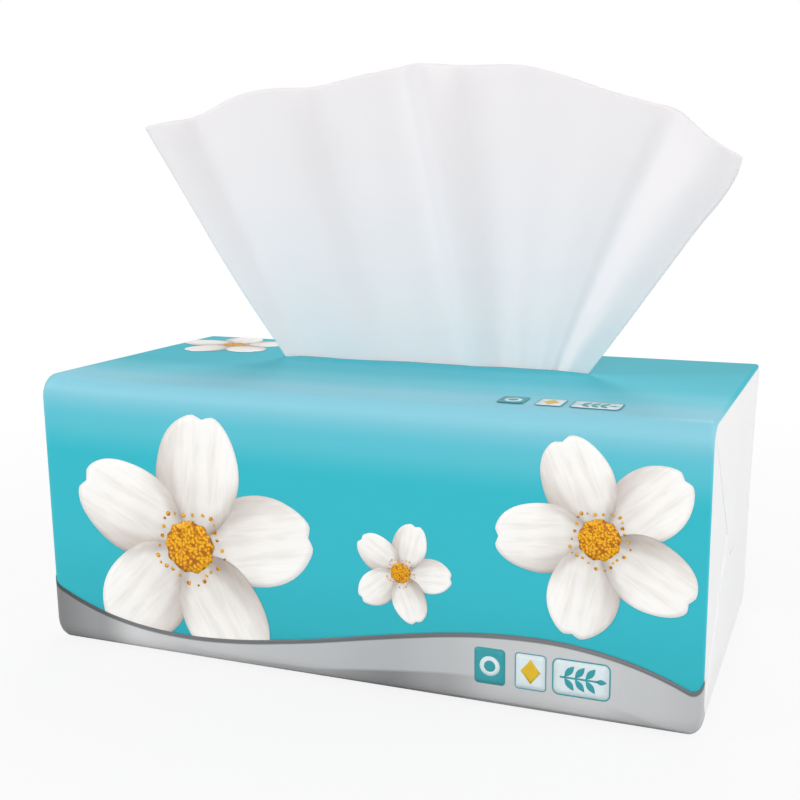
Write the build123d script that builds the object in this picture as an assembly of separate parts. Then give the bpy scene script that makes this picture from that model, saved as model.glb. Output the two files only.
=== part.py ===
from build123d import *

import math
import os

# A film-wrapped pack of interfolded tissues, with its leading sheet standing in the dispensing slit.
# Millimetres. X runs along the pack, Y from its front to its back, and Z is up.
# The origin is the centre of the underside, on the surface that the pack stands on.
# The print is one layer of ink over the film, and each of its fields is a solid of its own.

# Pack, measured over its print
pack_length = 210.0
pack_depth = 108.0
pack_height = 88.0
long_edge_radius = 6.0
film_thickness = 0.3
ink_thickness = 0.15

# Envelope folds that close the two ends, and the lap seal along the underside
end_flap_lap = 12.0
end_flap_tip_width = 7.85
seal_offset_y = 14.0
seal_groove_width = 0.6
seal_groove_depth = 0.1

# Dispensing slit in the top
slit_length = 110.0
slit_width = 3.2
slit_offset_x = 4.0
slit_offset_y = 9.0
slit_end_clearance = 2.5
slit_lip_clearance = 0.55

# Stack of interfolded sheets in the pack
stack_end_clearance = 1.6
stack_side_clearance = 0.3
headroom = 0.3

# Leading sheet: its length and thickness, its rise over the pack, and the fan that it opens into
sheet_length = 200.0
sheet_thickness = 0.5
sheet_rise = 96.5
sheet_lean = 12.0
fan_end_inset = 3.4
fan_offset_x = 4.3
fold_depth_top = 4.4
tail_fold_gap = 0.2

# Its folds crowd to the right in the slit, and it leans further as it rises
gather_pull_share = 0.13
gather_pull_power = 1.5
lean_power = 1.3

# The sheet's soft folds: place along it, height of its free edge there as a share of the rise,
# and depth of the fold as a share of the fold depth
sheet_shares = ((0.0, 0.82, -0.2), (0.03, 0.832, -0.5), (0.086, 0.853, 0.55), (0.187, 0.92, -0.5),
                (0.253, 0.938, -0.5), (0.313, 0.943, 0.55), (0.399, 0.975, 0.45), (0.465, 0.995, 0.4),
                (0.51, 1.0, -0.9), (0.566, 0.995, 0.75), (0.662, 0.988, 0.4), (0.732, 0.953, 0.35),
                (0.803, 0.902, 0.15), (0.863, 0.866, 0.3), (0.904, 0.84, 0.55), (0.954, 0.76, -0.85),
                (1.0, 0.70, -0.3))
fan_columns = 56
fan_sections = 3

# Printed base band, along the front and the back: its waved upper edge, as the place along the pack
# and the height there as a share of the band's
print_foot_height = 1.0
band_height = 23.6
band_edge_shares = ((-0.5, 0.85), (-0.3, 0.37), (0.0, 0.66), (0.27, 1.0), (0.5, 0.534))

# Blossoms on the front: centre along and up it, radius as a share of the height, turn in degrees
front_blossom_shares = ((-0.250, 0.430, 0.490, 10.0), (0.360, 0.615, 0.340, 40.0),
                        (0.085, 0.430, 0.180, 0.0))
# Blossom on the top: centre along and across it, radius as a share of the height, turn in degrees
top_blossom_shares = ((-0.385, 0.270, 0.240, 30.0),)
petal_count = 5
petal_reach_share = 0.54
petal_half_length_share = 0.46
petal_half_width_share = 0.32
centre_radius_share = 0.2

# One overrun for every cut
overrun = 5.0

# Worked out from the sizes above
body_depth = pack_depth - 2 * ink_thickness
body_height = pack_height - ink_thickness
body_length = pack_length - 4 * film_thickness
body_radius = long_edge_radius - ink_thickness
cavity_depth = body_depth - 2 * film_thickness
cavity_height = body_height - 2 * film_thickness
cavity_length = body_length - 2 * film_thickness
cavity_radius = body_radius - film_thickness
stack_length = cavity_length - 2 * stack_end_clearance
stack_depth = cavity_depth - 2 * stack_side_clearance
stack_radius = cavity_radius - stack_side_clearance
tail_height = 2 * sheet_thickness + tail_fold_gap
stack_height = cavity_height - headroom - tail_height
stack_top = film_thickness + stack_height
sheet_width = stack_length
fan_width = sheet_width - 2 * fan_end_inset
gather_width = slit_length - 2 * slit_end_clearance
fold_depth_slit = (slit_width - sheet_thickness) / 2 - slit_lip_clearance


def bar(length, depth, height, radius, foot):
    """A bar along X with rounded long edges, its underside at the height of its foot."""
    profile = Plane.YZ * Pos(0, foot + height / 2) * RectangleRounded(depth, height, radius)
    return extrude(profile, amount=length / 2, both=True)


def slit():
    """The round-ended slot that cuts the slit through the top, film and print alike."""
    slot = Pos(slit_offset_x, slit_offset_y, pack_height) * SlotOverall(slit_length, slit_width)
    return extrude(slot, amount=overrun, both=True)


def end_flap(side, rising):
    """A tapering flap folded over one end of the pack, up from its foot or down from its top."""
    reach = (body_height + end_flap_lap) / 2
    root_z = 0 if rising else body_height
    tip_z = reach if rising else body_height - reach
    layers = 1 if rising else 2
    root, tip = body_depth / 2, end_flap_tip_width / 2
    outline = Polygon((-root, root_z), (root, root_z), (tip, tip_z), (-tip, tip_z), align=None)
    flap = extrude(Plane.YZ * outline, amount=side * (body_length / 2 + layers * film_thickness))
    return flap & bar(pack_length, body_depth, body_height, body_radius, 0)


def film_wrapper():
    """The folded film: a thin bag with rounded long edges, two folded ends and the slit."""
    bag = bar(body_length, body_depth, body_height, body_radius, 0)
    for side in (-1, 1):
        bag += end_flap(side, rising=True)
        bag += end_flap(side, rising=False)
    bag -= bar(cavity_length, cavity_depth, cavity_height, cavity_radius, film_thickness)
    bag -= Pos(0, seal_offset_y, 0) * Box(pack_length + overrun, seal_groove_width, 2 * seal_groove_depth)
    return bag - slit()


def tissue_stack():
    """The interfolded sheets as one block, its long edges rounded by their folds."""
    return bar(stack_length, stack_depth, stack_height, stack_radius, film_thickness)


def sheet_point(place, crest_share, fold_share, height):
    """A point of the folded sheet at a height, on the line that runs up to its free edge there."""
    root_z = stack_top + tail_height - sheet_thickness / 2
    rise = (height - root_z) / (pack_height + sheet_rise * crest_share - root_z)
    pull = gather_pull_share * math.sin(math.pi * place)**gather_pull_power
    root_x = slit_offset_x + gather_width * (place + pull - 1 / 2)
    edge_x = fan_offset_x + fan_width * (place - 1 / 2)
    depth = fold_depth_slit + (fold_depth_top - fold_depth_slit) * rise
    y = slit_offset_y - sheet_lean * rise**lean_power + depth * fold_share
    return Vector(root_x + (edge_x - root_x) * rise, y, height)


def sheet_section(height):
    """The sheet cut level at a height: a narrow wavy band, its long sides a sheet apart."""
    places = [share[0] for share in sheet_shares]
    middle = Edge.make_spline([sheet_point(*share, height) for share in sheet_shares], parameters=places)
    points = [middle.position_at(column / fan_columns) for column in range(fan_columns + 1)]
    half = Vector(0, sheet_thickness / 2, 0)
    outline = [point - half for point in points] + [point + half for point in reversed(points)]
    return Face(Wire.make_polygon(outline))


def sheet_fan():
    """The half of the sheet that stands out of the slit and opens into a fan."""
    root_z = stack_top + tail_height - sheet_thickness / 2
    top_z = pack_height + sheet_rise + overrun
    fan = loft([sheet_section(root_z + (top_z - root_z) * step / fan_sections)
                for step in range(fan_sections + 1)], ruled=True)
    crest = [(fan_offset_x + fan_width * (place - 1 / 2), pack_height + sheet_rise * crest_share)
             for place, crest_share, fold_share in sheet_shares]
    (left_x, left_z), (right_x, right_z) = crest[0], crest[-1]
    over = Polyline((right_x, right_z), (fan_width, right_z), (fan_width, top_z + overrun),
                    (-fan_width, top_z + overrun), (-fan_width, left_z), (left_x, left_z))
    return fan - extrude(Plane.XZ * make_face([Spline(*crest), over]), amount=pack_depth, both=True)


def sheet_tail():
    """The half still inside: it runs back from the slit, round its fold and forward on the stack."""
    fold_y = cavity_depth / 2 - cavity_radius
    bend = tail_height / 2
    fold_run = math.pi * (bend - sheet_thickness / 2)
    lower_run = sheet_length - sheet_rise - (fold_y - slit_offset_y) - fold_run
    section = Pos(fold_y, stack_top + bend) * (Circle(bend) - Circle(bend - sheet_thickness))
    section -= Pos(fold_y - tail_height / 2, stack_top + bend) * Rectangle(tail_height, tail_height)
    section += Pos(fold_y - lower_run / 2, stack_top + sheet_thickness / 2) * Rectangle(
        lower_run, sheet_thickness)
    tail = extrude(Plane.YZ * section, amount=sheet_width / 2, both=True)
    front = slit_offset_y - fold_depth_slit - sheet_thickness
    left, right = slit_offset_x - gather_width / 2, slit_offset_x + gather_width / 2
    gather = Polygon((left, front), (right, front), (sheet_width / 2, fold_y),
                     (-sheet_width / 2, fold_y), align=None)
    gather = Pos(0, 0, stack_top + tail_height - sheet_thickness) * gather
    return tail + extrude(gather, amount=sheet_thickness)


def leading_tissue():
    """The sheet in the slit: its fan above the pack and its tail on the stack, in one piece."""
    return sheet_tail() + sheet_fan()


def print_layer():
    """The ink over the front, the top and the back, from which the printed fields are cut."""
    outer = bar(body_length, pack_depth, pack_height + ink_thickness, long_edge_radius, -ink_thickness)
    outer -= bar(body_length + overrun, body_depth, body_height, body_radius, 0)
    foot = Box(pack_length, pack_depth + overrun, 2 * print_foot_height)
    return outer - foot - slit()


def band_cutter():
    """Everything below the waved upper edge of the base band."""
    crest = [(pack_length * along, band_height * up) for along, up in band_edge_shares]
    (left_x, left_z), (right_x, right_z) = crest[0], crest[-1]
    under = Polyline((right_x, right_z), (right_x, -overrun), (left_x, -overrun), (left_x, left_z))
    return extrude(Plane.XZ * make_face([Spline(*crest), under]), amount=pack_depth, both=True)


def blossom(radius, turn):
    """Outline of an open blossom, its broad petals joined round its centre."""
    petal = Pos(radius * petal_reach_share, 0) * Ellipse(
        radius * petal_half_length_share, radius * petal_half_width_share)
    turns = [turn + 360 * count / petal_count for count in range(petal_count)]
    return Sketch() + [Rot(0, 0, angle) * petal for angle in turns] + blossom_centre(radius)


def blossom_centre(radius):
    """Outline of the round centre of a blossom."""
    return Circle(radius * centre_radius_share)


def on_front(along, up, outline):
    """A cutter that carries an outline through the front face and its rounded edges."""
    plane = Plane.XZ.offset(pack_depth / 2 - long_edge_radius)
    place = Pos(pack_length * along, pack_height * up)
    return extrude(plane * place * outline, amount=long_edge_radius + overrun)


def on_top(along, across, outline):
    """A cutter that carries an outline through the top face."""
    place = Pos(pack_length * along, pack_depth * across, pack_height)
    return extrude(place * outline, amount=overrun, both=True)


def printed_fields():
    """The ground, the base band, the blossoms and their centres, all flush in one layer of ink."""
    petals, centres = Part(), Part()
    for table, placed in ((front_blossom_shares, on_front), (top_blossom_shares, on_top)):
        for first, second, radius_share, turn in table:
            radius = pack_height * radius_share
            petals += placed(first, second, blossom(radius, turn))
            centres += placed(first, second, blossom_centre(radius))
    layer = print_layer()
    band = layer & band_cutter()
    above = layer - band_cutter()
    return {
        "print_ground": above - petals,
        "print_base_band": band,
        "print_blossoms": above & (petals - centres),
        "print_blossom_centres": above & centres,
    }


pieces = {
    "film_wrapper": film_wrapper(),
    "tissue_stack": tissue_stack(),
    "leading_tissue": leading_tissue(),
    **printed_fields(),
}
os.makedirs("parts", exist_ok=True)
for name, piece in pieces.items():
    export_step(piece, f"parts/{name}.step")
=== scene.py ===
"""Soft pack of facial tissues: printed film, folded ends, and one tissue fanned out of the slit.

Metres, in the row's frame: X along the pack, Y from its front to its back, Z up.
"""

import math

import bmesh
import bpy
from mathutils import Matrix, Vector, noise


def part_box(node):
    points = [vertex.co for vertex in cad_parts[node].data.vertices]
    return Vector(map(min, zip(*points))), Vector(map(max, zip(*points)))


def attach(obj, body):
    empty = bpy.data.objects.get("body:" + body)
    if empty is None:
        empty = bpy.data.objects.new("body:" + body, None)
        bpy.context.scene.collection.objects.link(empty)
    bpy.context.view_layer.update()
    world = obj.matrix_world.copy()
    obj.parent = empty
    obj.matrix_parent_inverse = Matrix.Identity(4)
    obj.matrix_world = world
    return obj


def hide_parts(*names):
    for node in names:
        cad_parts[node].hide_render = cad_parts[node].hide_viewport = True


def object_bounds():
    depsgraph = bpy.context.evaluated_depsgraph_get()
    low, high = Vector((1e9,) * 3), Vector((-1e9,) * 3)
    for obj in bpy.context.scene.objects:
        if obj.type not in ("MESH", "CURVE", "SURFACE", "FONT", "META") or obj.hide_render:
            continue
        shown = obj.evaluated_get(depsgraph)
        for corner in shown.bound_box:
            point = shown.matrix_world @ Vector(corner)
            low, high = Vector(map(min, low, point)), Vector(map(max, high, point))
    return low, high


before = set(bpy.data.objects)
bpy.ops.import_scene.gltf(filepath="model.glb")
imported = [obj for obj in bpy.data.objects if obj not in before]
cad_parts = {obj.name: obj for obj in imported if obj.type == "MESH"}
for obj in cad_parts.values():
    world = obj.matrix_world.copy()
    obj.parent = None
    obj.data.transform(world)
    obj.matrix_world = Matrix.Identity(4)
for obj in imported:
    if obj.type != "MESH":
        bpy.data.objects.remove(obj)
cad_low, cad_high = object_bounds()

MM = 0.001
SAME_PLACE = 1e-6

# Sizes read from the frame
body_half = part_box("print_ground")[1].x
half_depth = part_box("film_wrapper")[1].y
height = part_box("film_wrapper")[1].z
pack_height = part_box("print_ground")[1].z
stack_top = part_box("tissue_stack")[1].z
sheet_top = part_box("leading_tissue")[1].z
tail_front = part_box("leading_tissue")[0].y
tail_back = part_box("leading_tissue")[1].y
sheet_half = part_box("tissue_stack")[1].x

# Film: its thickness, the rounding of its long edges, and its slack over the stack
FILM = 0.25 * MM
LONG_EDGE = 5.85 * MM
SLACK = 0.35 * MM
SLACK_WAVE = 0.30 * MM
SEAL_Y = 14.0 * MM
SEAL_RISE = 0.14 * MM
SEAL_WIDTH = 0.7 * MM

# Slit, and how the sheet lifts and parts the film along it
SLIT_X = 4.0 * MM
SLIT_Y = 9.0 * MM
SLIT_HALF = 55.0 * MM
LIP_RISE = 0.7 * MM
LIP_WIDTH = 4.0 * MM
LIP_REACH = 12.0 * MM
LIP_PAST_END = 6.0 * MM
LIP_GAP = 0.5 * MM
LIP_TAPER = 3.0 * MM
PULL_REACH = 9.0 * MM
PULL_FADE = 2.6 * MM

# Ends: swelling at the left one's foot and top, at the right one's front and top back corner, and
# how much higher the left one's front corner stands
LEFT_SWELL = (0.5 * MM, 1.6 * MM)
RIGHT_SWELL = (0.3 * MM, 1.7 * MM)
CORNER_RAISE = 1.9 * MM
PANEL_SINK = 0.14 * MM
PANEL_RINGS = (0.04, 0.1, 0.2, 0.34, 0.5, 0.66, 0.82)

# End flaps, over the end panel: the falling one laps over the rising one
FLAP_MARGIN = 0.6 * MM
FLAP_TIP_HALF = 5.0 * MM
FLAP_OVERLAP = 12.0 * MM
FLAP_SINK = 0.05 * MM
FLAP_EDGE = 0.10 * MM
FLAP_RISE = 0.17 * MM
FLAP_WAVE = 0.06 * MM
FLAP_SOFTNESS = 2.5 * MM
FLAP_ROOT = 7.0 * MM
LAP_RISE = 0.26 * MM
LAP_SOFTNESS = 3.0 * MM

# Ink: its thickness, how far each print lies over the film and what each further layer adds
INK = 0.02 * MM
GROUND_LIFT = 0.12 * MM
PETAL_LIFT, PETAL_STEP = 0.19 * MM, 0.02 * MM
HEART_LIFT = 0.32 * MM
BAND_LIFT = 0.33 * MM
SIGN_LIFT, SIGN_STEP = 0.34 * MM, 0.015 * MM
# How high up the bend at the foot the print starts, and how far short of the right end it stops on
# the back
FOOT = 1.0 * MM
BACK_MARGIN = 0.9 * MM

# Leading sheet, as in the solid
SHEET = 0.5 * MM
TAIL = 1.2 * MM
RISE = sheet_top - pack_height
LEAN = 12.0 * MM
FAN_X = 4.3 * MM
FAN_WIDTH = 198.2 * MM
GATHER_WIDTH = 105.0 * MM
PULL_SHARE = 0.13
# Height of its free edge, as a share of its rise, along the sheet
CREST = ((0.0, 0.82), (0.03, 0.832), (0.086, 0.853), (0.187, 0.92), (0.253, 0.938), (0.313, 0.943),
         (0.399, 0.975), (0.465, 0.995), (0.51, 1.0), (0.566, 0.995), (0.662, 0.988),
         (0.732, 0.953), (0.803, 0.902), (0.863, 0.866), (0.904, 0.84), (0.954, 0.76), (1.0, 0.70))
# Its thickness as seen, and its folds: depth at the free edge and at the slit, share of that
# depth along the sheet, and how far along it they drift on the way down to the slit
PAPER = 0.28 * MM
FOLD_TOP = 4.4 * MM
FOLD_SLIT = 0.8 * MM
FOLDS = ((0.0, -0.2), (0.03, -0.6), (0.086, 0.65), (0.187, -0.5), (0.253, -0.6), (0.313, 0.65),
         (0.399, 0.5), (0.465, 0.5), (0.51, -0.95), (0.566, 0.6), (0.662, 0.4), (0.732, 0.35),
         (0.803, 0.15), (0.863, 0.25), (0.904, 0.45), (0.954, -0.9), (1.0, -0.3))
DRIFT = ((0.0, 0.03), (0.3, 0.03), (0.48, 0.0), (0.6, -0.04), (0.75, 0.0), (0.92, 0.03), (1.0, 0.0))
CRUMPLE = 0.35 * MM
FINE_CRUMPLE = 0.12 * MM
PLEAT = 0.07 * MM
PLEATS = 17
# How far its side edges bow outwards, in millimetres, by share of its rise
RIGHT_BOW = ((0.0, 0.0), (0.29, 0.8), (0.42, 1.0), (0.58, 1.35), (0.71, 1.7), (0.83, 2.6),
             (0.93, 1.9), (1.0, 0.0))
LEFT_BOW = ((0.0, 0.0), (0.29, 1.35), (0.45, 1.5), (0.7, 0.9), (0.85, 0.5), (1.0, 0.0))
# The film dips at the left end, so the folded tail lies flatter there
LEFT_TAIL = 0.55 * MM
LEFT_TAIL_REACH = 9.0 * MM

# Blossoms, as in the solids: centre along and up the front, radius, turn in degrees
FRONT_BLOSSOMS = ((-0.250, 0.430, 0.490, 10.0), (0.360, 0.615, 0.340, 40.0),
                  (0.085, 0.430, 0.180, 0.0))
TOP_BLOSSOMS = ((-0.385, 0.270, 0.240, 30.0),)
PETALS = 5
# Their parts, as shares of the radius
PETAL_HALF_LENGTH = 0.46
PETAL_HALF_WIDTH = 0.335
PETAL_MIDDLE = 0.54
HEART = 0.195
ANTHERS = 26
ANTHER_RING = 0.262
ANTHER = 0.014

# Waved upper edge of the base band: place along the pack, height in millimetres
BAND_EDGE = ((-0.5, 20.1), (-0.4531, 15.6), (-0.4048, 12.2), (-0.3551, 10.0), (-0.3042, 8.8),
             (-0.2529, 8.5), (-0.2019, 9.0), (-0.1510, 10.1), (-0.1005, 11.7), (-0.05, 13.5),
             (0.0, 15.6), (0.05, 17.7), (0.1005, 19.7), (0.1510, 21.5), (0.2014, 22.8),
             (0.2529, 23.5), (0.3038, 23.5), (0.3548, 22.4), (0.4048, 20.3), (0.4533, 17.0),
             (0.5, 12.6))
BAND_DEPTH = 25.0 * MM

# Camera fitted to the photograph
CAMERA_AT = Vector((142.0, -367.3, 154.6)) * MM
CAMERA_YAW, CAMERA_PITCH, CAMERA_ROLL = (math.radians(a) for a in (21.61, 11.03, -0.41))
CAMERA_FOCUS_SHARE = 1216.1 / 800
SENSOR = 36.0

# Floor: half its side, how white it is by itself, and between which distances it gets all white
FLOOR_HALF = 6.0
FLOOR_WHITE = 0.85
WHITE_FROM, WHITE_TO = 0.08, 0.42
# Strength of the world, and the lamps: name, place, side and power
WORLD_LIGHT = 0.42
LAMPS = (("key", (-1.6, -1.0, 1.1), 0.9, 16.0), ("front", (0.5, -2.2, 0.7), 1.6, 21.0),
         ("side", (1.9, 0.2, 0.9), 1.4, 22.0), ("back", (-0.4, 1.9, 1.9), 1.4, 21.0))
LAMP_TARGET = Vector((0, 0, 0.08))


def smooth(table, place):
    """A value read along a smooth curve through a table of places and values."""
    last = len(table) - 1
    at = max([i for i in range(last) if table[i][0] <= place] or [0])
    (left, low), (right, high) = table[at], table[at + 1]
    before, after = table[max(at - 1, 0)], table[min(at + 2, last)]
    span = right - left
    rise_low = (high - before[1]) / (right - before[0]) * span
    rise_high = (after[1] - low) / (after[0] - left) * span
    part = min(max((place - left) / span, 0.0), 1.0)
    return (low * (1 + 2 * part) * (1 - part) ** 2 + rise_low * part * (1 - part) ** 2
            + high * (3 - 2 * part) * part ** 2 - rise_high * (1 - part) * part ** 2)


def mix(low, high, share):
    """The value at a share of the way between two others."""
    return low + (high - low) * share


def eased(share):
    """A share that starts and stops softly."""
    return share * share * (3 - 2 * share)


def clamped(share):
    return min(max(share, 0.0), 1.0)


def spread(low, high, count):
    """Evenly spaced values, both ends included."""
    return [mix(low, high, i / (count - 1)) for i in range(count)]


def ripple(first, second, pattern):
    """Smooth noise at a place; the third number picks the pattern."""
    return noise.noise(Vector((first, second, pattern)))


# The film's girth, unrolled: zero where the flat front starts, then up the front, over the top,
# down the back and along the underside
FRONT_RUN = height - 2 * LONG_EDGE
TOP_RUN = 2 * (half_depth - LONG_EDGE)
BEND_RUN = math.pi / 2 * LONG_EDGE
TOP_START = FRONT_RUN + BEND_RUN
TOP_END = TOP_START + TOP_RUN
BACK_START = TOP_END + BEND_RUN
BACK_END = BACK_START + FRONT_RUN
UNDER_START = BACK_END + BEND_RUN
GIRTH = UNDER_START + TOP_RUN + BEND_RUN
SLIT_GIRTH = TOP_START + SLIT_Y + half_depth - LONG_EDGE
FOOT_BEND = LONG_EDGE * (math.pi / 2 - math.acos(1 - FOOT / LONG_EDGE))
PRINT_START = -FOOT_BEND
PRINT_END = BACK_END + FOOT_BEND
SEAL_GIRTH = UNDER_START + half_depth - LONG_EDGE - SEAL_Y
# Rows of the film beside the slit and the seal, in millimetres from them, and how far from the
# slit its other rows stay away
SLIT_ROWS = (-6.4, -4.6, -3.2, -2.0, 0, 2.0, 3.2, 4.6, 6.4)
SLIT_CLEAR = 7.5 * MM
SEAL_ROWS = (-1.5, -0.9, -0.45, 0, 0.45, 0.9, 1.5)
# How far from its ends the film's columns stand close together, and how far from the ends of the
# slit its other columns stay away
END_REACH = 8.0 * MM
SLIT_END_CLEAR = 1.2 * MM
# Rows of signs: places of the three along the pack in millimetres, place round the girth, scale
SIGN_ROWS = (((45.0, 57.0, 71.5), 13.2 * MM - LONG_EDGE, 1.0),
             ((47.0, 58.0, 71.0), TOP_START + 8.0 * MM, 0.85))

# Rounding of the end edges, in millimetres: place round the girth, reach along the pack, depth of
# the inset
LEFT_ROUND = ((0.0, 2.2, 1.6), (0.65, 2.4, 1.8), (1.0, 4.8, 4.2), (1.35, 4.8, 3.5),
              (2.0, 4.2, 2.9), (2.6, 2.2, 1.6), (3.0, 3.0, 3.0), (3.5, 3.0, 3.0), (4.0, 2.2, 1.6))
RIGHT_ROUND = ((0.0, 1.3, 1.0), (1.0, 1.0, 0.9), (2.0, 1.0, 0.9), (2.8, 2.0, 1.4),
               (3.0, 4.0, 5.0), (3.5, 4.0, 6.0), (4.0, 1.3, 1.0))
# Middle of each face round the girth, and where the film starts to lie flat on its underside
FRONT, TOP, BACK, UNDER = 0.5, 1.5, 2.5, 3.5
FLAT_FROM = 2.97


def face_place(girth):
    """Place round the girth as front 0 to 1, top 1 to 2, back 2 to 3 and underside 3 to 4."""
    girth = girth % GIRTH
    bend = BEND_RUN / 2
    if girth < FRONT_RUN + bend:
        return max(girth, 0.0) / (FRONT_RUN + bend)
    if girth < TOP_END + bend:
        return 1 + (girth - FRONT_RUN - bend) / (TOP_RUN + BEND_RUN)
    if girth < BACK_END + bend:
        return 2 + (girth - TOP_END - bend) / (FRONT_RUN + BEND_RUN)
    return min(3 + (girth - BACK_END - bend) / (TOP_RUN + BEND_RUN), 4.0)


def round_table(side):
    return RIGHT_ROUND if side > 0 else LEFT_ROUND


def end_inset(x, faces):
    """Inset of a face near an end of the pack."""
    table = round_table(x)
    reach = mix_table(table, faces, 1) * MM
    depth = mix_table(table, faces, 2) * MM
    over = clamped((abs(x) - (body_half - reach)) / reach)
    return depth * (1 - math.sqrt(1 - over ** 2))


def mix_table(table, place, column):
    """A value of a table's column at a place between its rows."""
    for first, second in zip(table, table[1:]):
        if place <= second[0]:
            share = (place - first[0]) / (second[0] - first[0])
            return mix(first[column], second[column], eased(share))
    return table[-1][column]


def section_point(girth, front, back, low, high):
    """Point and outward normal of a rounded section between the given sides."""
    girth = girth % GIRTH
    radius = LONG_EDGE
    centres = ((-1, -1), (-1, 1), (1, 1), (1, -1))
    y_of = {-1: front + radius, 1: back - radius}
    z_of = {-1: low + radius, 1: high - radius}
    runs = (FRONT_RUN, BEND_RUN, TOP_RUN, BEND_RUN, FRONT_RUN, BEND_RUN, TOP_RUN, BEND_RUN)
    for step, run in enumerate(runs):
        if girth <= run or step == len(runs) - 1:
            share = min(girth / run, 1.0)
            break
        girth -= run
    side = step // 2
    start, end = centres[side], centres[(side + 1) % 4]
    angle = math.pi - side * math.pi / 2
    if step % 2 == 0:
        y, z = mix(y_of[start[0]], y_of[end[0]], share), mix(z_of[start[1]], z_of[end[1]], share)
    else:
        angle -= share * math.pi / 2
        y, z = y_of[end[0]], z_of[end[1]]
    out_y, out_z = math.cos(angle), math.sin(angle)
    return y + radius * out_y, z + radius * out_z, out_y, out_z


def slack(x, girth, faces):
    """Soft unevenness of the film over the stack, nothing where it stands."""
    if faces > FLAT_FROM or girth < 0:
        return 0.0
    along = max(math.cos(math.pi / 2 * x / body_half), 0.0)
    crown = math.sin(math.pi * (faces % 1)) * along ** 0.5
    wave = ripple(x * 26, girth * 34, 3.1) + 0.4 * ripple(x * 70, girth * 80, 7.7)
    return crown * (SLACK + SLACK_WAVE * wave)


def swell(point):
    """Moves a point near an end of the pack outwards: the full pack is widest at its top."""
    rise = clamped(point.z / height)
    if point.x < 0:
        out = mix(*LEFT_SWELL, rise)
    else:
        backward = (point.y + half_depth) / (2 * half_depth)
        out = mix(RIGHT_SWELL[0], RIGHT_SWELL[1] * rise ** 2.5, backward)
    point.x += math.copysign(out * min(abs(point.x) / body_half, 1.0) ** 4, point.x)
    return point


def film_surface(x, girth):
    """A point of the film."""
    front, top, back, under = (end_inset(x, face) for face in (FRONT, TOP, BACK, UNDER))
    y, z, out_y, out_z = section_point(
        girth, -half_depth + front, half_depth - back, under, height - top)
    faces = face_place(girth)
    loose = slack(x, girth, faces)
    point = Vector((x, y + out_y * loose, z + out_z * loose))
    if faces > 3:
        point.z += SEAL_RISE * math.exp(-((y - SEAL_Y) / SEAL_WIDTH) ** 2)
    over = girth - SLIT_GIRTH
    beside = SLIT_HALF + LIP_PAST_END - abs(x - SLIT_X)
    if abs(over) < LIP_REACH and beside > 0:
        window = min(1.0, beside / LIP_REACH)
        point.z += LIP_RISE * window * window * math.exp(-(over / LIP_WIDTH) ** 2)
    if x < 0:
        forward = (half_depth - point.y) / (2 * half_depth)
        point.z += CORNER_RAISE * forward * point.z / height * (x / body_half) ** 12
    return swell(point)


def film_point(x, girth, lift=0.0):
    """A point of the film, or of something printed a lift above it."""
    point = film_surface(x, girth)
    if not lift:
        return point
    step = 0.1 * MM
    outwards = math.copysign(1.0, x)
    along = (point - film_surface(x - outwards * step, girth)) * outwards
    around = film_surface(x, girth + step) - film_surface(x, girth - step)
    return point + along.cross(around).normalized() * lift


def end_columns():
    """Places along the pack, close together where its ends are rounded."""
    bend = [math.sin(math.radians(a)) for a in range(0, 91, 6)]
    right = [body_half - END_REACH + END_REACH * b for b in bend]
    middle = spread(-body_half + END_REACH, body_half - END_REACH, 79)[1:-1]
    slit = [SLIT_X - SLIT_HALF, SLIT_X + SLIT_HALF]
    middle = [x for x in middle if all(abs(x - end) > SLIT_END_CLEAR for end in slit)] + slit
    return [-x for x in reversed(right)] + sorted(middle) + right


def girth_rows(low, high):
    """Places round the girth, close together at the bends, by the slit and at the seal."""
    rows = []
    for start, end, count in (
            (0, FRONT_RUN, 30), (FRONT_RUN, TOP_START, 17), (TOP_START, TOP_END, 40),
            (TOP_END, BACK_START, 17), (BACK_START, BACK_END, 22), (BACK_END, UNDER_START, 13),
            (UNDER_START, UNDER_START + TOP_RUN, 22), (-BEND_RUN, 0, 13)):
        rows += spread(start, end, count)
    rows = [row for row in rows if abs(row - SLIT_GIRTH) > SLIT_CLEAR]
    rows += [SLIT_GIRTH + step * MM for step in SLIT_ROWS]
    rows += [SEAL_GIRTH + step * MM for step in SEAL_ROWS]
    return sorted({round(row, 7) for row in rows if low < row < high} | {low, high})


def new_piece(name, bm, material):
    """Turns a finished shape into a smooth piece of the pack."""
    mesh = bpy.data.meshes.new(name)
    bm.to_mesh(mesh)
    bm.free()
    mesh.materials.append(material)
    for face in mesh.polygons:
        face.use_smooth = True
    piece = bpy.data.objects.new(name, mesh)
    bpy.context.scene.collection.objects.link(piece)
    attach(piece, "root")
    return piece


def thicken(piece, thickness, offset=-1, even=True):
    """Gives a sheet its thickness, inwards or to both sides."""
    solid = piece.modifiers.new("thickness", "SOLIDIFY")
    solid.thickness = thickness
    solid.offset = offset
    solid.use_even_offset = even


def slit_line(x):
    """Where the sheet runs across the slit at a place along it, and how open the lips are."""
    near = clamped((x - (SLIT_X - GATHER_WIDTH / 2)) / GATHER_WIDTH)
    place = near
    for _ in range(8):
        place -= (place + PULL_SHARE * math.sin(math.pi * place) ** 1.5 - near) / 1.3
        place = clamped(place)
    ends = min(1.0, (SLIT_HALF - abs(x - SLIT_X)) / LIP_TAPER)
    return FOLD_SLIT * fold_at(place, 0.0) * ends, LIP_GAP * ends ** 0.5


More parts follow.
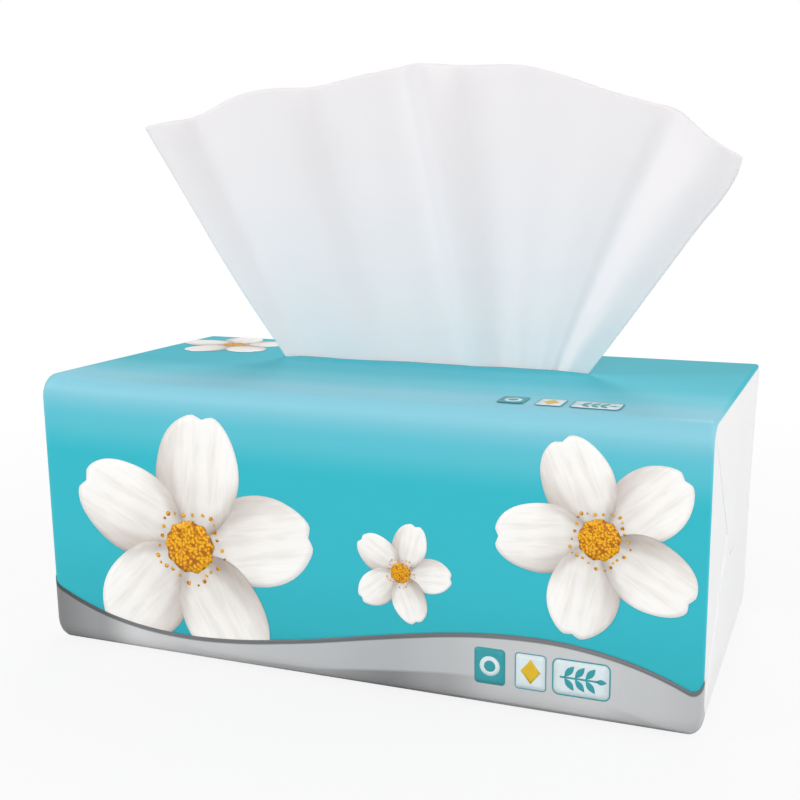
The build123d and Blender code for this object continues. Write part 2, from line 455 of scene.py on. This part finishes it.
def film_grid(bm, uv, rows, lift=0.0, closed=False, back_margin=0.0):
    """Adds a stretch of the film, slit included, and returns its two end loops."""
    columns = end_columns()
    split = next(i for i, row in enumerate(rows) if abs(row - SLIT_GIRTH) < SAME_PLACE)
    below, above = {}, {}
    for c, x in enumerate(columns):
        opened = abs(x - SLIT_X) < SLIT_HALF - SAME_PLACE
        for r, row in enumerate(rows):
            if closed and r == len(rows) - 1:
                below[c, r] = above[c, r] = below[c, 0]
                continue
            margin = back_margin * clamped((row - TOP_END) / BEND_RUN) if x > 0 else 0.0
            point = film_point(x * (1 - margin / body_half), row, lift)
            if opened and abs(row - SLIT_GIRTH) < PULL_REACH:
                line, gap = slit_line(x)
                if r == split:
                    below[c, r] = bm.verts.new(point + Vector((0, line - gap, 0)))
                    above[c, r] = bm.verts.new(point + Vector((0, line + gap, 0)))
                    continue
                fade = math.exp(-abs(row - SLIT_GIRTH) / PULL_FADE)
                point.y += fade * (line + math.copysign(gap, row - SLIT_GIRTH))
            below[c, r] = above[c, r] = bm.verts.new(point)
    for c in range(len(columns) - 1):
        for r in range(len(rows) - 1):
            start = above if r == split else below
            corners = ((c, r), (c + 1, r), (c + 1, r + 1), (c, r + 1))
            face = bm.faces.new([(start if row == r else below)[at, row] for at, row in corners])
            for loop, (at, row) in zip(face.loops, corners):
                loop[uv].uv = (columns[at] / (2 * body_half) + 0.5, rows[row] / GIRTH)
    last = len(rows) - (1 if closed else 0)
    return [[below[c, r] for r in range(last)] for c in (0, len(columns) - 1)]


def close_end(bm, loop, side):
    """Closes an end of the film with a soft, slightly sunken panel."""
    centre = sum((v.co for v in loop), Vector()) / len(loop)
    previous = loop
    for share in PANEL_RINGS:
        ring = []
        for vert in loop:
            point = vert.co.lerp(centre, share)
            sunk = PANEL_SINK * math.sin(math.pi * min(share * 2, 1) / 2)
            point.x = side * (body_half - sunk)
            ring.append(bm.verts.new(swell(point)))
        for i in range(len(loop)):
            j = (i + 1) % len(loop)
            bm.faces.new([previous[i], previous[j], ring[j], ring[i]])
        previous = ring
    middle = bm.verts.new(swell(Vector((side * (body_half - PANEL_SINK), centre.y, centre.z))))
    for i in range(len(loop)):
        bm.faces.new([previous[i], previous[(i + 1) % len(loop)], middle])


def end_flap(bm, side, rising):
    """A folded flap of the end: a tapering panel that lies on the end panel."""
    front, top, under = (end_inset(side * body_half, face) for face in (FRONT, TOP, UNDER))
    low, high, width = under, height - top, half_depth - front - FLAP_MARGIN
    reach = (height + FLAP_OVERLAP) / 2
    root_level, tip_level = (low, reach) if rising else (high, height - reach)
    rows, columns = 36, 56
    grid = []
    for level in spread(root_level, tip_level, rows + 1):
        from_root = abs(level - root_level)
        half = max(width - from_root, FLAP_TIP_HALF)
        round_in = max(0.0, 1 - from_root / LONG_EDGE) ** 2 * LONG_EDGE
        rooted = eased(min(from_root / FLAP_ROOT, 1.0))
        line = []
        for c in range(columns + 1):
            y = math.sin(math.pi / 2 * (2 * c / columns - 1)) * (half - round_in * 0.9)
            inside = min(half - abs(y), reach - from_root, FLAP_SOFTNESS) / FLAP_SOFTNESS
            wave = FLAP_WAVE * ripple(y * 60, level * 60, 5 + side)
            out = FLAP_EDGE + (FLAP_RISE + wave) * eased(inside)
            if not rising:
                under_half = width - (level - low)
                lap = min(low + reach - level, under_half - abs(y), LAP_SOFTNESS) / LAP_SOFTNESS
                out += LAP_RISE * max(lap, 0.0) ** 0.5
            point = Vector((side * (body_half + out * rooted - FLAP_SINK), y, level))
            line.append(bm.verts.new(swell(point)))
        grid.append(line)
    turned = (side > 0) == rising
    for r in range(rows):
        for c in range(columns):
            corners = [grid[r][c], grid[r][c + 1], grid[r + 1][c + 1], grid[r + 1][c]]
            bm.faces.new(corners if turned else corners[::-1])


def wrapper_film(material):
    """The film bag: tube with soft edges and slit, closed ends and the folds over them."""
    bm = bmesh.new()
    uv = bm.loops.layers.uv.new("unrolled")
    left, right = film_grid(bm, uv, girth_rows(-BEND_RUN, GIRTH - BEND_RUN), closed=True)
    close_end(bm, left, -1)
    close_end(bm, right, 1)
    bmesh.ops.recalc_face_normals(bm, faces=bm.faces)
    for side in (-1, 1):
        end_flap(bm, side, True)
        end_flap(bm, side, False)
    piece = new_piece("wrapper_film", bm, material)
    thicken(piece, FILM)
    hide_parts("film_wrapper")


def printed_piece(name, bm, material):
    """A piece of ink."""
    piece = new_piece(name, bm, material)
    thicken(piece, INK)
    return piece


def printed_ground(material):
    """The teal ink over the front, the top and the back."""
    bm = bmesh.new()
    uv = bm.loops.layers.uv.new("unrolled")
    film_grid(bm, uv, girth_rows(PRINT_START, PRINT_END), GROUND_LIFT, back_margin=BACK_MARGIN)
    bmesh.ops.recalc_face_normals(bm, faces=bm.faces)
    piece = printed_piece("teal_ground", bm, material)
    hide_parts("print_ground")


def drape(bm, lift_of):
    """Lays a flat drawing, in places along the pack and round its girth, on the film."""
    for side in (1, -1):
        bmesh.ops.bisect_plane(
            bm, geom=bm.verts[:] + bm.edges[:] + bm.faces[:], plane_co=(side * body_half, 0, 0),
            plane_no=(side, 0, 0), clear_outer=True)
    for vert in bm.verts:
        vert.co = film_point(vert.co.x, vert.co.y, lift_of(vert.co.z))


def band_top(x):
    """Place round the girth of the base band's upper edge."""
    return smooth(BAND_EDGE, min(max(x / (2 * cad_high.x), -0.5), 0.5)) * MM - LONG_EDGE


def printed_band(material):
    """The silver band along the foot of the front and the back."""
    bm = bmesh.new()
    uv = bm.loops.layers.uv.new("unrolled")
    columns, shares = end_columns(), spread(0, 1, 16)
    for back in (False, True):
        grid = []
        for x in columns:
            short = 1 - BACK_MARGIN / body_half if back and x > 0 else 1.0
            line = []
            for share in shares:
                girth = mix(PRINT_START, band_top(x), share ** 0.8)
                line.append(bm.verts.new((x * short, BACK_END - girth if back else girth, 0)))
            grid.append(line)
        for c in range(len(columns) - 1):
            for r in range(len(shares) - 1):
                corners = [grid[c][r], grid[c + 1][r], grid[c + 1][r + 1], grid[c][r + 1]]
                face = bm.faces.new(corners[::-1] if back else corners)
                for loop in face.loops:
                    x, girth = loop.vert.co.x, loop.vert.co.y
                    below = band_top(x) - (BACK_END - girth if back else girth)
                    loop[uv].uv = (x / (2 * body_half) + 0.5, below / BAND_DEPTH)
    drape(bm, lambda layer: BAND_LIFT)
    piece = printed_piece("base_band", bm, material)
    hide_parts("print_base_band")


def blossom_places():
    """Centre, radius and turn of each blossom, along the pack and round its girth."""
    span, depth = 2 * cad_high.x, 2 * cad_high.y
    for along, up, size, turn in FRONT_BLOSSOMS:
        yield span * along, pack_height * up - LONG_EDGE, pack_height * size, turn
    for along, across, size, turn in TOP_BLOSSOMS:
        girth = TOP_START + depth * across + half_depth - LONG_EDGE
        yield span * along, girth, pack_height * size, turn


def add_disc(bm, uv, centre, outline, rings, layer, mapped):
    """A flat disc of rings inside an outline of offsets from its centre."""
    x, y = centre
    middle = bm.verts.new((x, y, layer))
    loops = []
    for share in spread(0, 1, rings + 1)[1:]:
        loops.append([bm.verts.new((x + share * p[0], y + share * p[1], layer)) for p in outline])
    for i in range(len(outline)):
        j = (i + 1) % len(outline)
        faces = [bm.faces.new([middle, loops[0][i], loops[0][j]])]
        for inner, outer in zip(loops, loops[1:]):
            faces.append(bm.faces.new([inner[i], outer[i], outer[j], inner[j]]))
        for face in faces:
            for loop in face.loops:
                loop[uv].uv = mapped(loop.vert.co)


def circle(steps):
    """Angle and point of each step round a circle of radius 1."""
    for angle in spread(0, 2 * math.pi, steps + 1)[:-1]:
        yield angle, math.cos(angle), math.sin(angle)


def printed_petals(material):
    """The white petals, each a soft notched oval, overlapping its neighbour."""
    bm = bmesh.new()
    uv = bm.loops.layers.uv.new("petal")
    for along, girth, radius, turn in blossom_places():
        for count in range(PETALS):
            angle = math.radians(turn + 360 * count / PETALS)
            ahead = Vector((math.cos(angle), math.sin(angle)))
            aside = Vector((-math.sin(angle), math.cos(angle)))
            outline = []
            for around, x, y in circle(56):
                notch = 0.10 * math.exp(-(math.atan2(y, x) / 0.16) ** 2)
                size = 1 - notch + 0.012 * math.sin(5 * around + count * 2 + radius * 900)
                outline.append(radius * size * (ahead * PETAL_HALF_LENGTH * x
                                                + aside * PETAL_HALF_WIDTH * y))

            def mapped(place):
                offset = Vector((place.x - along, place.y - girth)) / radius
                return offset.dot(aside) * 0.5 + 0.5, offset.dot(ahead)
            middle = Vector((along, girth)) + ahead * radius * PETAL_MIDDLE
            add_disc(bm, uv, middle, outline, 8, count, mapped)
    drape(bm, lambda layer: PETAL_LIFT + PETAL_STEP * layer)
    piece = printed_piece("blossom_petals", bm, material)
    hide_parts("print_blossoms")


def printed_hearts(material):
    """The yellow hearts of the blossoms, with a ring of small anthers round each."""
    bm = bmesh.new()
    uv = bm.loops.layers.uv.new("heart")
    for along, girth, radius, _ in blossom_places():
        def mapped(place):
            return (place.x - along) / radius + 0.5, (place.y - girth) / radius + 0.5
        outline = []
        for around, x, y in circle(64):
            wobble = 0.03 * math.sin(9 * around) + 0.02 * math.sin(14 * around + 1)
            size = radius * HEART * (1 + wobble)
            outline.append((size * x, size * y))
        add_disc(bm, uv, (along, girth), outline, 4, 0, mapped)
        for dot in range(ANTHERS):
            around = 2 * math.pi * (dot + 0.35 * math.sin(dot * 7.3)) / ANTHERS
            out = radius * (ANTHER_RING + 0.028 * math.sin(dot * 5.1))
            size = radius * (ANTHER + 0.004 * math.sin(dot * 3.7))
            place = (along + out * math.cos(around), girth + out * math.sin(around))
            ring = [(size * x, size * y) for _, x, y in circle(10)]
            add_disc(bm, uv, place, ring, 1, 1, mapped)
    drape(bm, lambda layer: HEART_LIFT)
    piece = printed_piece("blossom_hearts", bm, material)
    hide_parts("print_blossom_centres")


def rounded(width, tall, radius, steps=6):
    """Outline of a rounded rectangle about its centre."""
    points = []
    for corner, (x, y) in enumerate(((1, 1), (-1, 1), (-1, -1), (1, -1))):
        for step in range(steps + 1):
            angle = math.pi / 2 * (corner + step / steps)
            points.append((x * (width / 2 - radius) + radius * math.cos(angle),
                           y * (tall / 2 - radius) + radius * math.sin(angle)))
    return points


def leaf(length, width, angle):
    """Outline of a pointed leaf about its centre, turned by an angle in degrees."""
    turn = math.radians(angle)
    points = []
    for side, places in ((-1, spread(0, 1, 9)[:-1]), (1, spread(1, 0, 9)[:-1])):
        for place in places:
            x, y = length * (place - 0.5), side * width / 2 * math.sin(math.pi * place)
            points.append((x * math.cos(turn) - y * math.sin(turn),
                           x * math.sin(turn) + y * math.cos(turn)))
    return points


def sign_map(place):
    return place.x * 10, place.y * 10


def add_ring(bm, uv, centre, outer, inner, layer):
    """A flat frame between two outlines."""
    rings = [[bm.verts.new((centre[0] + x, centre[1] + y, layer)) for x, y in outline]
             for outline in (inner, outer)]
    for i in range(len(outer)):
        j = (i + 1) % len(outer)
        face = bm.faces.new([rings[0][i], rings[1][i], rings[1][j], rings[0][j]])
        for loop in face.loops:
            loop[uv].uv = sign_map(loop.vert.co)


def printed_signs(materials):
    """Three small wordless signs in a row, low on the front, and again smaller on the top."""
    layers = {key: bmesh.new() for key in materials}
    uvs = {key: bm.loops.layers.uv.new("sign") for key, bm in layers.items()}
    for (first, second, third), girth, scale in SIGN_ROWS:
        step = scale * MM

        def patch(key, along, x, y, outline, layer):
            spot = along * MM + x * step, girth + y * step
            scaled = [(a * step, b * step) for a, b in outline]
            add_disc(layers[key], uvs[key], spot, scaled, 3, layer, sign_map)

        def frame_round(along, outer, inner):
            scaled = [[(a * step, b * step) for a, b in outline] for outline in (outer, inner)]
            add_ring(layers["teal"], uvs["teal"], (along * MM, girth), scaled[0], scaled[1], 2)

        small, small_inner = rounded(9.2, 11.0, 1.2), rounded(8.6, 10.4, 0.9)
        wide, wide_inner = rounded(16.5, 11.0, 2.0), rounded(15.7, 10.2, 1.6)
        # A ring
        patch("teal", first, 0, 0, small, 2)
        patch("pale", first, 0, 0, [(3.0 * x, 3.0 * y) for _, x, y in circle(32)], 3)
        patch("teal", first, 0, 0, [(1.7 * x, 1.7 * y) for _, x, y in circle(32)], 4)
        # A diamond
        patch("pale", second, 0, 0, small_inner, 1)
        frame_round(second, small, small_inner)
        patch("yellow", second, 0, 0, [(-2.9, 0), (0, -3.7), (2.9, 0), (0, 3.7)], 2)
        # A sprig: its stem, three pairs of leaves and the leaf at its tip
        patch("pale", third, 0, 0, wide_inner, 1)
        frame_round(third, wide, wide_inner)
        patch("teal", third, -0.6, 0, rounded(11.0, 0.6, 0.29), 2)
        for foot in (-3.4, -0.4, 2.6):
            patch("teal", third, foot, 1.9, leaf(4.4, 1.9, 52), 2)
            patch("teal", third, foot, -1.9, leaf(4.4, 1.9, -52), 2)
        patch("teal", third, 5.6, 0, leaf(3.2, 1.6, 0), 2)
    for key, slot in (("pale", "white_ink"), ("teal", "teal_ink"), ("yellow", "yellow_ink")):
        drape(layers[key], lambda layer: SIGN_LIFT + SIGN_STEP * layer)
        printed_piece("sign_" + key, layers[key], materials[key])


def fold_at(place, share):
    """Depth of the sheet's folds at a place along it and a share of its rise."""
    return smooth(FOLDS, clamped(place + smooth(DRIFT, place) * (1 - share)))


def sheet_path():
    """Rows of the leading sheet from its inner edge to its free edge: kind, and place along it."""
    rows = [("lower", s) for s in spread(0, 1, 12)]
    rows += [("fold", s) for s in spread(0, 1, 8)[1:]]
    rows += [("upper", s) for s in spread(0, 1, 16)[1:]]
    rows += [("fan", s ** 1.15) for s in spread(0, 1, 92)[1:]]
    return rows


def sheet_point(place, kind, share):
    """A point of the leading sheet's middle surface."""
    fold_y = tail_back - TAIL / 2
    full_x = (place - 0.5) * 2 * sheet_half
    folded = mix(LEFT_TAIL, TAIL, min((full_x + sheet_half) / LEFT_TAIL_REACH, 1.0))
    pull = PULL_SHARE * math.sin(math.pi * place) ** 1.5
    root_x = SLIT_X + GATHER_WIDTH * (place + pull - 0.5)
    root_z = stack_top + TAIL - SHEET / 2
    if kind == "lower":
        return Vector((full_x, mix(tail_front, fold_y, share), stack_top + SHEET / 2))
    if kind == "fold":
        angle = math.pi * (share - 0.5)
        reach = (folded - SHEET) / 2
        return Vector((full_x, fold_y + reach * math.cos(angle),
                       stack_top + folded / 2 + reach * math.sin(angle)))
    if kind == "upper":
        low_z = stack_top + folded - SHEET / 2
        return Vector((mix(full_x, root_x, share ** 1.2), mix(fold_y, SLIT_Y, share),
                       mix(low_z, root_z, share)))
    edge_x = FAN_X + FAN_WIDTH * (place - 0.5)
    z = mix(root_z, pack_height + RISE * smooth(CREST, place), share)
    rooted = min(1.0, (z - root_z) / TAIL)
    depth = mix(FOLD_SLIT, FOLD_TOP, share ** 0.6)
    y = SLIT_Y - LEAN * share ** 1.3 + depth * fold_at(place, share) * rooted
    crumple = CRUMPLE * ripple(place * 7, share * 2.2, 1.7)
    crumple += FINE_CRUMPLE * ripple(place * 26, share * 6, 4.2)
    pleat = PLEAT * math.sin(place * 2 * math.pi * PLEATS + 2 * math.sin(place * 9))
    y += (crumple * min(share * 4, 1.0) + pleat * math.exp(-share / 0.12)) * rooted
    bow = smooth(RIGHT_BOW, share) * place ** 4 - smooth(LEFT_BOW, share) * (1 - place) ** 4
    return Vector((mix(root_x, edge_x, share) + bow * MM, y, z))


def standing_tissue(material):
    """The leading sheet: one soft thin sheet, fanned above the pack and folded inside it."""
    bm = bmesh.new()
    uv = bm.loops.layers.uv.new("sheet")
    path = sheet_path()
    columns = spread(0, 1, 241)
    grid = [[bm.verts.new(sheet_point(place, kind, share)) for place in columns]
            for kind, share in path]
    for r in range(len(path) - 1):
        for c in range(len(columns) - 1):
            corners = ((r, c), (r, c + 1), (r + 1, c + 1), (r + 1, c))
            face = bm.faces.new([grid[row][column] for row, column in corners])
            for loop, (row, column) in zip(face.loops, corners):
                kind, share = path[row]
                loop[uv].uv = (columns[column], 0.5 + share / 2 if kind == "fan" else 0.25)
    piece = new_piece("standing_tissue", bm, material)
    thicken(piece, PAPER, offset=0, even=False)
    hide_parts("leading_tissue")


def linear(colour):
    """A display colour, 0 to 255, as the shader's linear one."""
    parts = [c / 255 for c in colour]
    return tuple(p / 12.92 if p <= 0.04045 else ((p + 0.055) / 1.055) ** 2.4
                 for p in parts) + (1.0,)


class Nodes:
    """A small helper to write a material's nodes."""

    def __init__(self, name):
        self.material = bpy.data.materials.new(name)
        self.material.use_nodes = True
        self.tree = self.material.node_tree
        self.shader = self.tree.nodes["Principled BSDF"]

    def add(self, kind, **values):
        """A node with its settings, or its inputs where it has no such setting."""
        node = self.tree.nodes.new(kind)
        for key, value in values.items():
            if hasattr(node, key):
                setattr(node, key, value)
            else:
                node.inputs[key.replace("_", " ")].default_value = value
        return node

    def feed(self, value, target):
        """Puts a number, a display colour or another node's output into an input."""
        if isinstance(value, (int, float)):
            target.default_value = value
        elif isinstance(value, tuple):
            target.default_value = linear(value)
        else:
            self.tree.links.new(value, target)

    def uv(self, name):
        """The places of a UV map, and its two coordinates one by one."""
        place = self.add("ShaderNodeUVMap", uv_map=name)
        parts = self.add("ShaderNodeSeparateXYZ")
        self.feed(place.outputs[0], parts.inputs[0])
        return place.outputs[0], parts.outputs[0], parts.outputs[1]

    def own_place(self):
        return self.add("ShaderNodeTexCoord").outputs["Object"]

    def noise(self, place, **values):
        node = self.add("ShaderNodeTexNoise", **values)
        self.feed(place, node.inputs["Vector"])
        return node.outputs[0]

    def stretched(self, place, scale):
        node = self.add("ShaderNodeMapping", Scale=scale)
        self.feed(place, node.inputs[0])
        return node.outputs[0]

    def maths(self, operation, first, second):
        node = self.add("ShaderNodeMath", operation=operation)
        self.feed(first, node.inputs[0])
        self.feed(second, node.inputs[1])
        return node.outputs[0]

    def share(self, source, low, high, least=0.0):
        """Where a value lies between two others, from a least share to 1."""
        node = self.add("ShaderNodeMapRange", From_Min=low, From_Max=high, To_Min=least)
        self.feed(source, node.inputs["Value"])
        return node.outputs[0]

    def ramp(self, source, stops, smooth_ramp=True):
        node = self.tree.nodes.new("ShaderNodeValToRGB")
        node.color_ramp.interpolation = "EASE" if smooth_ramp else "LINEAR"
        elements = node.color_ramp.elements
        while len(elements) > 1:
            elements.remove(elements[-1])
        elements[0].position = stops[0][0]
        elements[0].color = linear(stops[0][1])
        for place, colour in stops[1:]:
            elements.new(place).color = linear(colour)
        self.feed(source, node.inputs[0])
        return node.outputs[0]

    def mixed(self, kind, factor, first, second):
        node = self.tree.nodes.new("ShaderNodeMix")
        node.data_type = "RGBA"
        node.blend_type = kind
        for value, at in ((factor, 0), (first, 6), (second, 7)):
            self.feed(value, node.inputs[at])
        return node.outputs[2]

    def bump(self, source, strength, distance):
        node = self.add("ShaderNodeBump", Strength=strength, Distance=distance)
        self.feed(source, node.inputs["Height"])
        self.feed(node.outputs[0], self.shader.inputs["Normal"])

    def blend(self, factor, other):
        """Mixes another shader over the first one."""
        both = self.tree.nodes.new("ShaderNodeMixShader")
        self.feed(factor, both.inputs[0])
        self.feed(self.shader.outputs[0], both.inputs[1])
        self.feed(other.outputs[0], both.inputs[2])
        self.feed(both.outputs[0], self.tree.nodes["Material Output"].inputs[0])

    def finish(self, colour, roughness, specular):
        self.feed(colour, self.shader.inputs["Base Color"])
        self.shader.inputs["Roughness"].default_value = roughness
        self.shader.inputs["Specular IOR Level"].default_value = specular
        return self.material


def film_creases(nodes, strength):
    """Fine soft creases of thin film, as a height."""
    place = nodes.own_place()
    creases = nodes.noise(place, Scale=55.0, Detail=3.0, Roughness=0.5, Distortion=0.6)
    nodes.bump(creases, strength, 0.6 * MM)
    return place


def teal_print_and_painted_highlight():
    """Teal, with a painted highlight round the top front edge, and deeper towards the foot."""
    nodes = Nodes("teal_print_and_painted_highlight")
    film_creases(nodes, 0.10)
    _, _, up = nodes.uv("unrolled")
    # Millimetres up the front and over the top, colour; the paler stops from 70 to 126 mm are a
    # painted highlight along the top front edge
    stops = ((0, (49, 170, 184)), (14, (54, 181, 195)), (34, (56, 186, 201)), (58, (54, 186, 201)),
             (70, (92, 194, 211)), (80, (138, 204, 221)), (92, (136, 204, 221)),
             (108, (100, 196, 213)), (126, (62, 186, 203)), (150, (50, 184, 201)),
             (200, (48, 183, 199)), (265, (46, 174, 189)))
    colour = nodes.ramp(up, [(mm * MM / GIRTH, c) for mm, c in stops])
    return nodes.finish(colour, 0.4, 0.16)


def white_film():
    """Plain white film with fine creases."""
    nodes = Nodes("white_film")
    film_creases(nodes, 0.14)
    return nodes.finish((240, 240, 241), 0.45, 0.2)


def silver_print():
    """Silver grey, shaded along the pack, under a dark rim line and a pale sweep."""
    nodes = Nodes("silver_print")
    film_creases(nodes, 0.10)
    _, across, below = nodes.uv("unrolled")
    greys = ((0, 128), (0.08, 155), (0.15, 212), (0.26, 196), (0.42, 172), (0.57, 137),
             (0.64, 160), (0.73, 196), (0.85, 204), (0.93, 184), (1, 150))
    along = nodes.ramp(across, [(at, (grey, grey, grey + 1)) for at, grey in greys])
    sweep_edge = ((0.08, 8), (0.2, 70), (0.45, 128), (0.7, 148), (1, 160))
    sweep = nodes.ramp(across, [(at, (edge, edge, edge)) for at, edge in sweep_edge], False)
    under = nodes.maths("SUBTRACT", sweep, nodes.maths("MULTIPLY", below, 0.55))
    pale = nodes.share(under, -0.004, 0.016)
    swept = nodes.mixed("MIX", 0.65, along, nodes.mixed("MIX", pale, along, (202, 204, 206)))
    rim_grey = (150, 151, 153)
    rim = nodes.ramp(below, ((0, rim_grey), (0.05, rim_grey), (0.066, (255, 255, 255))), False)
    return nodes.finish(nodes.mixed("MULTIPLY", 1.0, swept, rim), 0.3, 0.3)


def petal_print_and_painted_shade():
    """White petals with fine veins, and painted shade: greyer at their root and where the next one
    covers them.
    """
    nodes = Nodes("petal_print_and_painted_shade")
    place, across, out = nodes.uv("petal")
    # Painted shade: greyer towards the root, where the petals overlap
    root = nodes.ramp(out, ((0.15, (214, 208, 201)), (0.36, (244, 241, 237)),
                            (0.65, (254, 252, 249)), (1, (255, 254, 252))))
    turned = nodes.maths("DIVIDE", nodes.maths("SUBTRACT", across, 0.5), out)
    # Painted shade along the side that the next petal covers
    painted_overlap_shade = nodes.ramp(nodes.maths("ADD", turned, 0.5), (
        (0.12, (236, 233, 231)), (0.24, (255, 255, 255)), (0.6, (250, 249, 248)),
        (0.74, (222, 217, 214)), (0.86, (206, 200, 196))))
    shade = nodes.mixed("MULTIPLY", 1.0, root, painted_overlap_shade)
    streaks = nodes.noise(nodes.stretched(place, (26.0, 1.6, 1.0)),
                          Scale=1.0, Detail=3.0, Roughness=0.6)
    veins = nodes.ramp(streaks, ((0.3, (234, 230, 227)), (0.6, (255, 255, 255))))
    return nodes.finish(nodes.mixed("MULTIPLY", 0.6, shade, veins), 0.34, 0.25)


def heart_print():
    """Yellow florets, browner between them."""
    nodes = Nodes("heart_print")
    place, _, _ = nodes.uv("heart")
    cells = nodes.add("ShaderNodeTexVoronoi", Scale=46.0)
    nodes.feed(place, cells.inputs["Vector"])
    colour = nodes.ramp(cells.outputs["Distance"], (
        (0.0, (252, 205, 60)), (0.35, (243, 178, 28)), (0.62, (205, 130, 20)),
        (0.8, (168, 100, 24))))
    return nodes.finish(colour, 0.36, 0.25)


def flat_ink(name, colour):
    """One even colour of ink on the film, very slightly mottled."""
    nodes = Nodes(name)
    place = film_creases(nodes, 0.10)
    mottle = nodes.noise(place, Scale=300.0, Detail=2.0)
    shade = nodes.ramp(mottle, ((0.3, (250, 250, 250)), (0.7, (255, 255, 255))))
    return nodes.finish(nodes.mixed("MULTIPLY", 1.0, colour, shade), 0.34, 0.25)


def tissue_paper():
    """Soft crepe paper that lets a little light through."""
    nodes = Nodes("tissue_paper")
    place, _, _ = nodes.uv("sheet")
    crepe = nodes.noise(nodes.stretched(place, (330.0, 900.0, 1.0)),
                        Scale=1.0, Detail=2.0, Roughness=0.5)
    nodes.bump(crepe, 0.25, 0.12 * MM)
    through = nodes.add("ShaderNodeBsdfTranslucent", Color=linear((246, 246, 248)))
    nodes.blend(0.2, through)
    return nodes.finish((252, 247, 248), 0.95, 0.08)


def stack_paper():
    """The edges of many thin sheets, seen as fine level lines."""
    nodes = Nodes("stack_paper")
    lines = nodes.add("ShaderNodeTexWave", bands_direction="Z", Scale=280.0, Distortion=1.5,
                      Detail=2.0)
    nodes.feed(nodes.own_place(), lines.inputs["Vector"])
    nodes.bump(lines.outputs[0], 0.4, 0.2 * MM)
    colour = nodes.ramp(lines.outputs[0], ((0, (206, 206, 209)), (1, (236, 236, 238))))
    return nodes.finish(colour, 0.95, 0.08)


def stage():
    """Pale floor that stays white far away and takes a soft shadow close by."""
    mesh = bpy.data.meshes.new("floor")
    corners = [(x * FLOOR_HALF, y * FLOOR_HALF, 0) for x, y in ((-1, -1), (1, -1), (1, 1), (-1, 1))]
    mesh.from_pydata(corners, [], [(0, 1, 2, 3)])
    floor = bpy.data.objects.new("floor", mesh)
    bpy.context.scene.collection.objects.link(floor)
    nodes = Nodes("floor")
    nodes.finish((214, 214, 214), 1.0, 0.0)
    far = nodes.add("ShaderNodeVectorMath", operation="LENGTH")
    nodes.feed(nodes.own_place(), far.inputs[0])
    white = nodes.share(far.outputs["Value"], WHITE_FROM, WHITE_TO, FLOOR_WHITE)
    to_camera = nodes.add("ShaderNodeLightPath").outputs["Is Camera Ray"]
    nodes.blend(nodes.maths("MULTIPLY", to_camera, white), nodes.add("ShaderNodeEmission"))
    mesh.materials.append(nodes.material)


def lamp(name, at, size, power):
    """A soft square lamp turned to the pack."""
    data = bpy.data.lights.new(name, "AREA")
    data.energy = power
    data.size = size
    rig = bpy.data.objects.new(name, data)
    rig.location = at
    rig.rotation_mode = "QUATERNION"
    rig.rotation_quaternion = (LAMP_TARGET - Vector(at)).to_track_quat("-Z", "Y")
    bpy.context.scene.collection.objects.link(rig)


def surroundings():
    """An even pale world, white to the camera, and four soft lamps round the pack."""
    world = bpy.data.worlds.new("studio")
    bpy.context.scene.world = world
    world.use_nodes = True
    tree = world.node_tree
    path = tree.nodes.new("ShaderNodeLightPath")
    seen = tree.nodes.new("ShaderNodeMapRange")
    seen.inputs["To Min"].default_value = WORLD_LIGHT
    tree.links.new(path.outputs["Is Camera Ray"], seen.inputs["Value"])
    tree.links.new(seen.outputs[0], tree.nodes["Background"].inputs["Strength"])
    tree.nodes["Background"].inputs["Color"].default_value = (1, 1, 1, 1)
    for values in LAMPS:
        lamp(*values)


def camera():
    """The camera of the photograph."""
    data = bpy.data.cameras.new("camera")
    data.sensor_width = SENSOR
    data.lens = SENSOR * CAMERA_FOCUS_SHARE
    data.clip_start = 0.01
    rig = bpy.data.objects.new("camera", data)
    bpy.context.scene.collection.objects.link(rig)
    yaw, pitch, roll = CAMERA_YAW, CAMERA_PITCH, CAMERA_ROLL
    ahead = Vector((-math.sin(yaw) * math.cos(pitch), math.cos(yaw) * math.cos(pitch),
                    -math.sin(pitch)))
    right = Vector((math.cos(yaw), math.sin(yaw), 0))
    up = right.cross(ahead)
    turned_right = right * math.cos(roll) + up * math.sin(roll)
    turned_up = up * math.cos(roll) - right * math.sin(roll)
    axes = Matrix((turned_right, turned_up, -ahead)).transposed().to_4x4()
    rig.matrix_world = Matrix.Translation(CAMERA_AT) @ axes
    bpy.context.scene.camera = rig


def main():
    bpy.context.scene.view_settings.view_transform = "Standard"
    camera()
    stage()
    surroundings()
    wrapper_film(white_film())
    printed_ground(teal_print_and_painted_highlight())
    printed_petals(petal_print_and_painted_shade())
    printed_hearts(heart_print())
    printed_band(silver_print())
    printed_signs({"pale": flat_ink("pale_sign", (222, 234, 238)),
                   "teal": flat_ink("teal_sign", (58, 158, 166)),
                   "yellow": flat_ink("yellow_sign", (226, 186, 48))})
    standing_tissue(tissue_paper())
    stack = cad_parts["tissue_stack"]
    stack.data.materials.clear()
    stack.data.materials.append(stack_paper())


main()
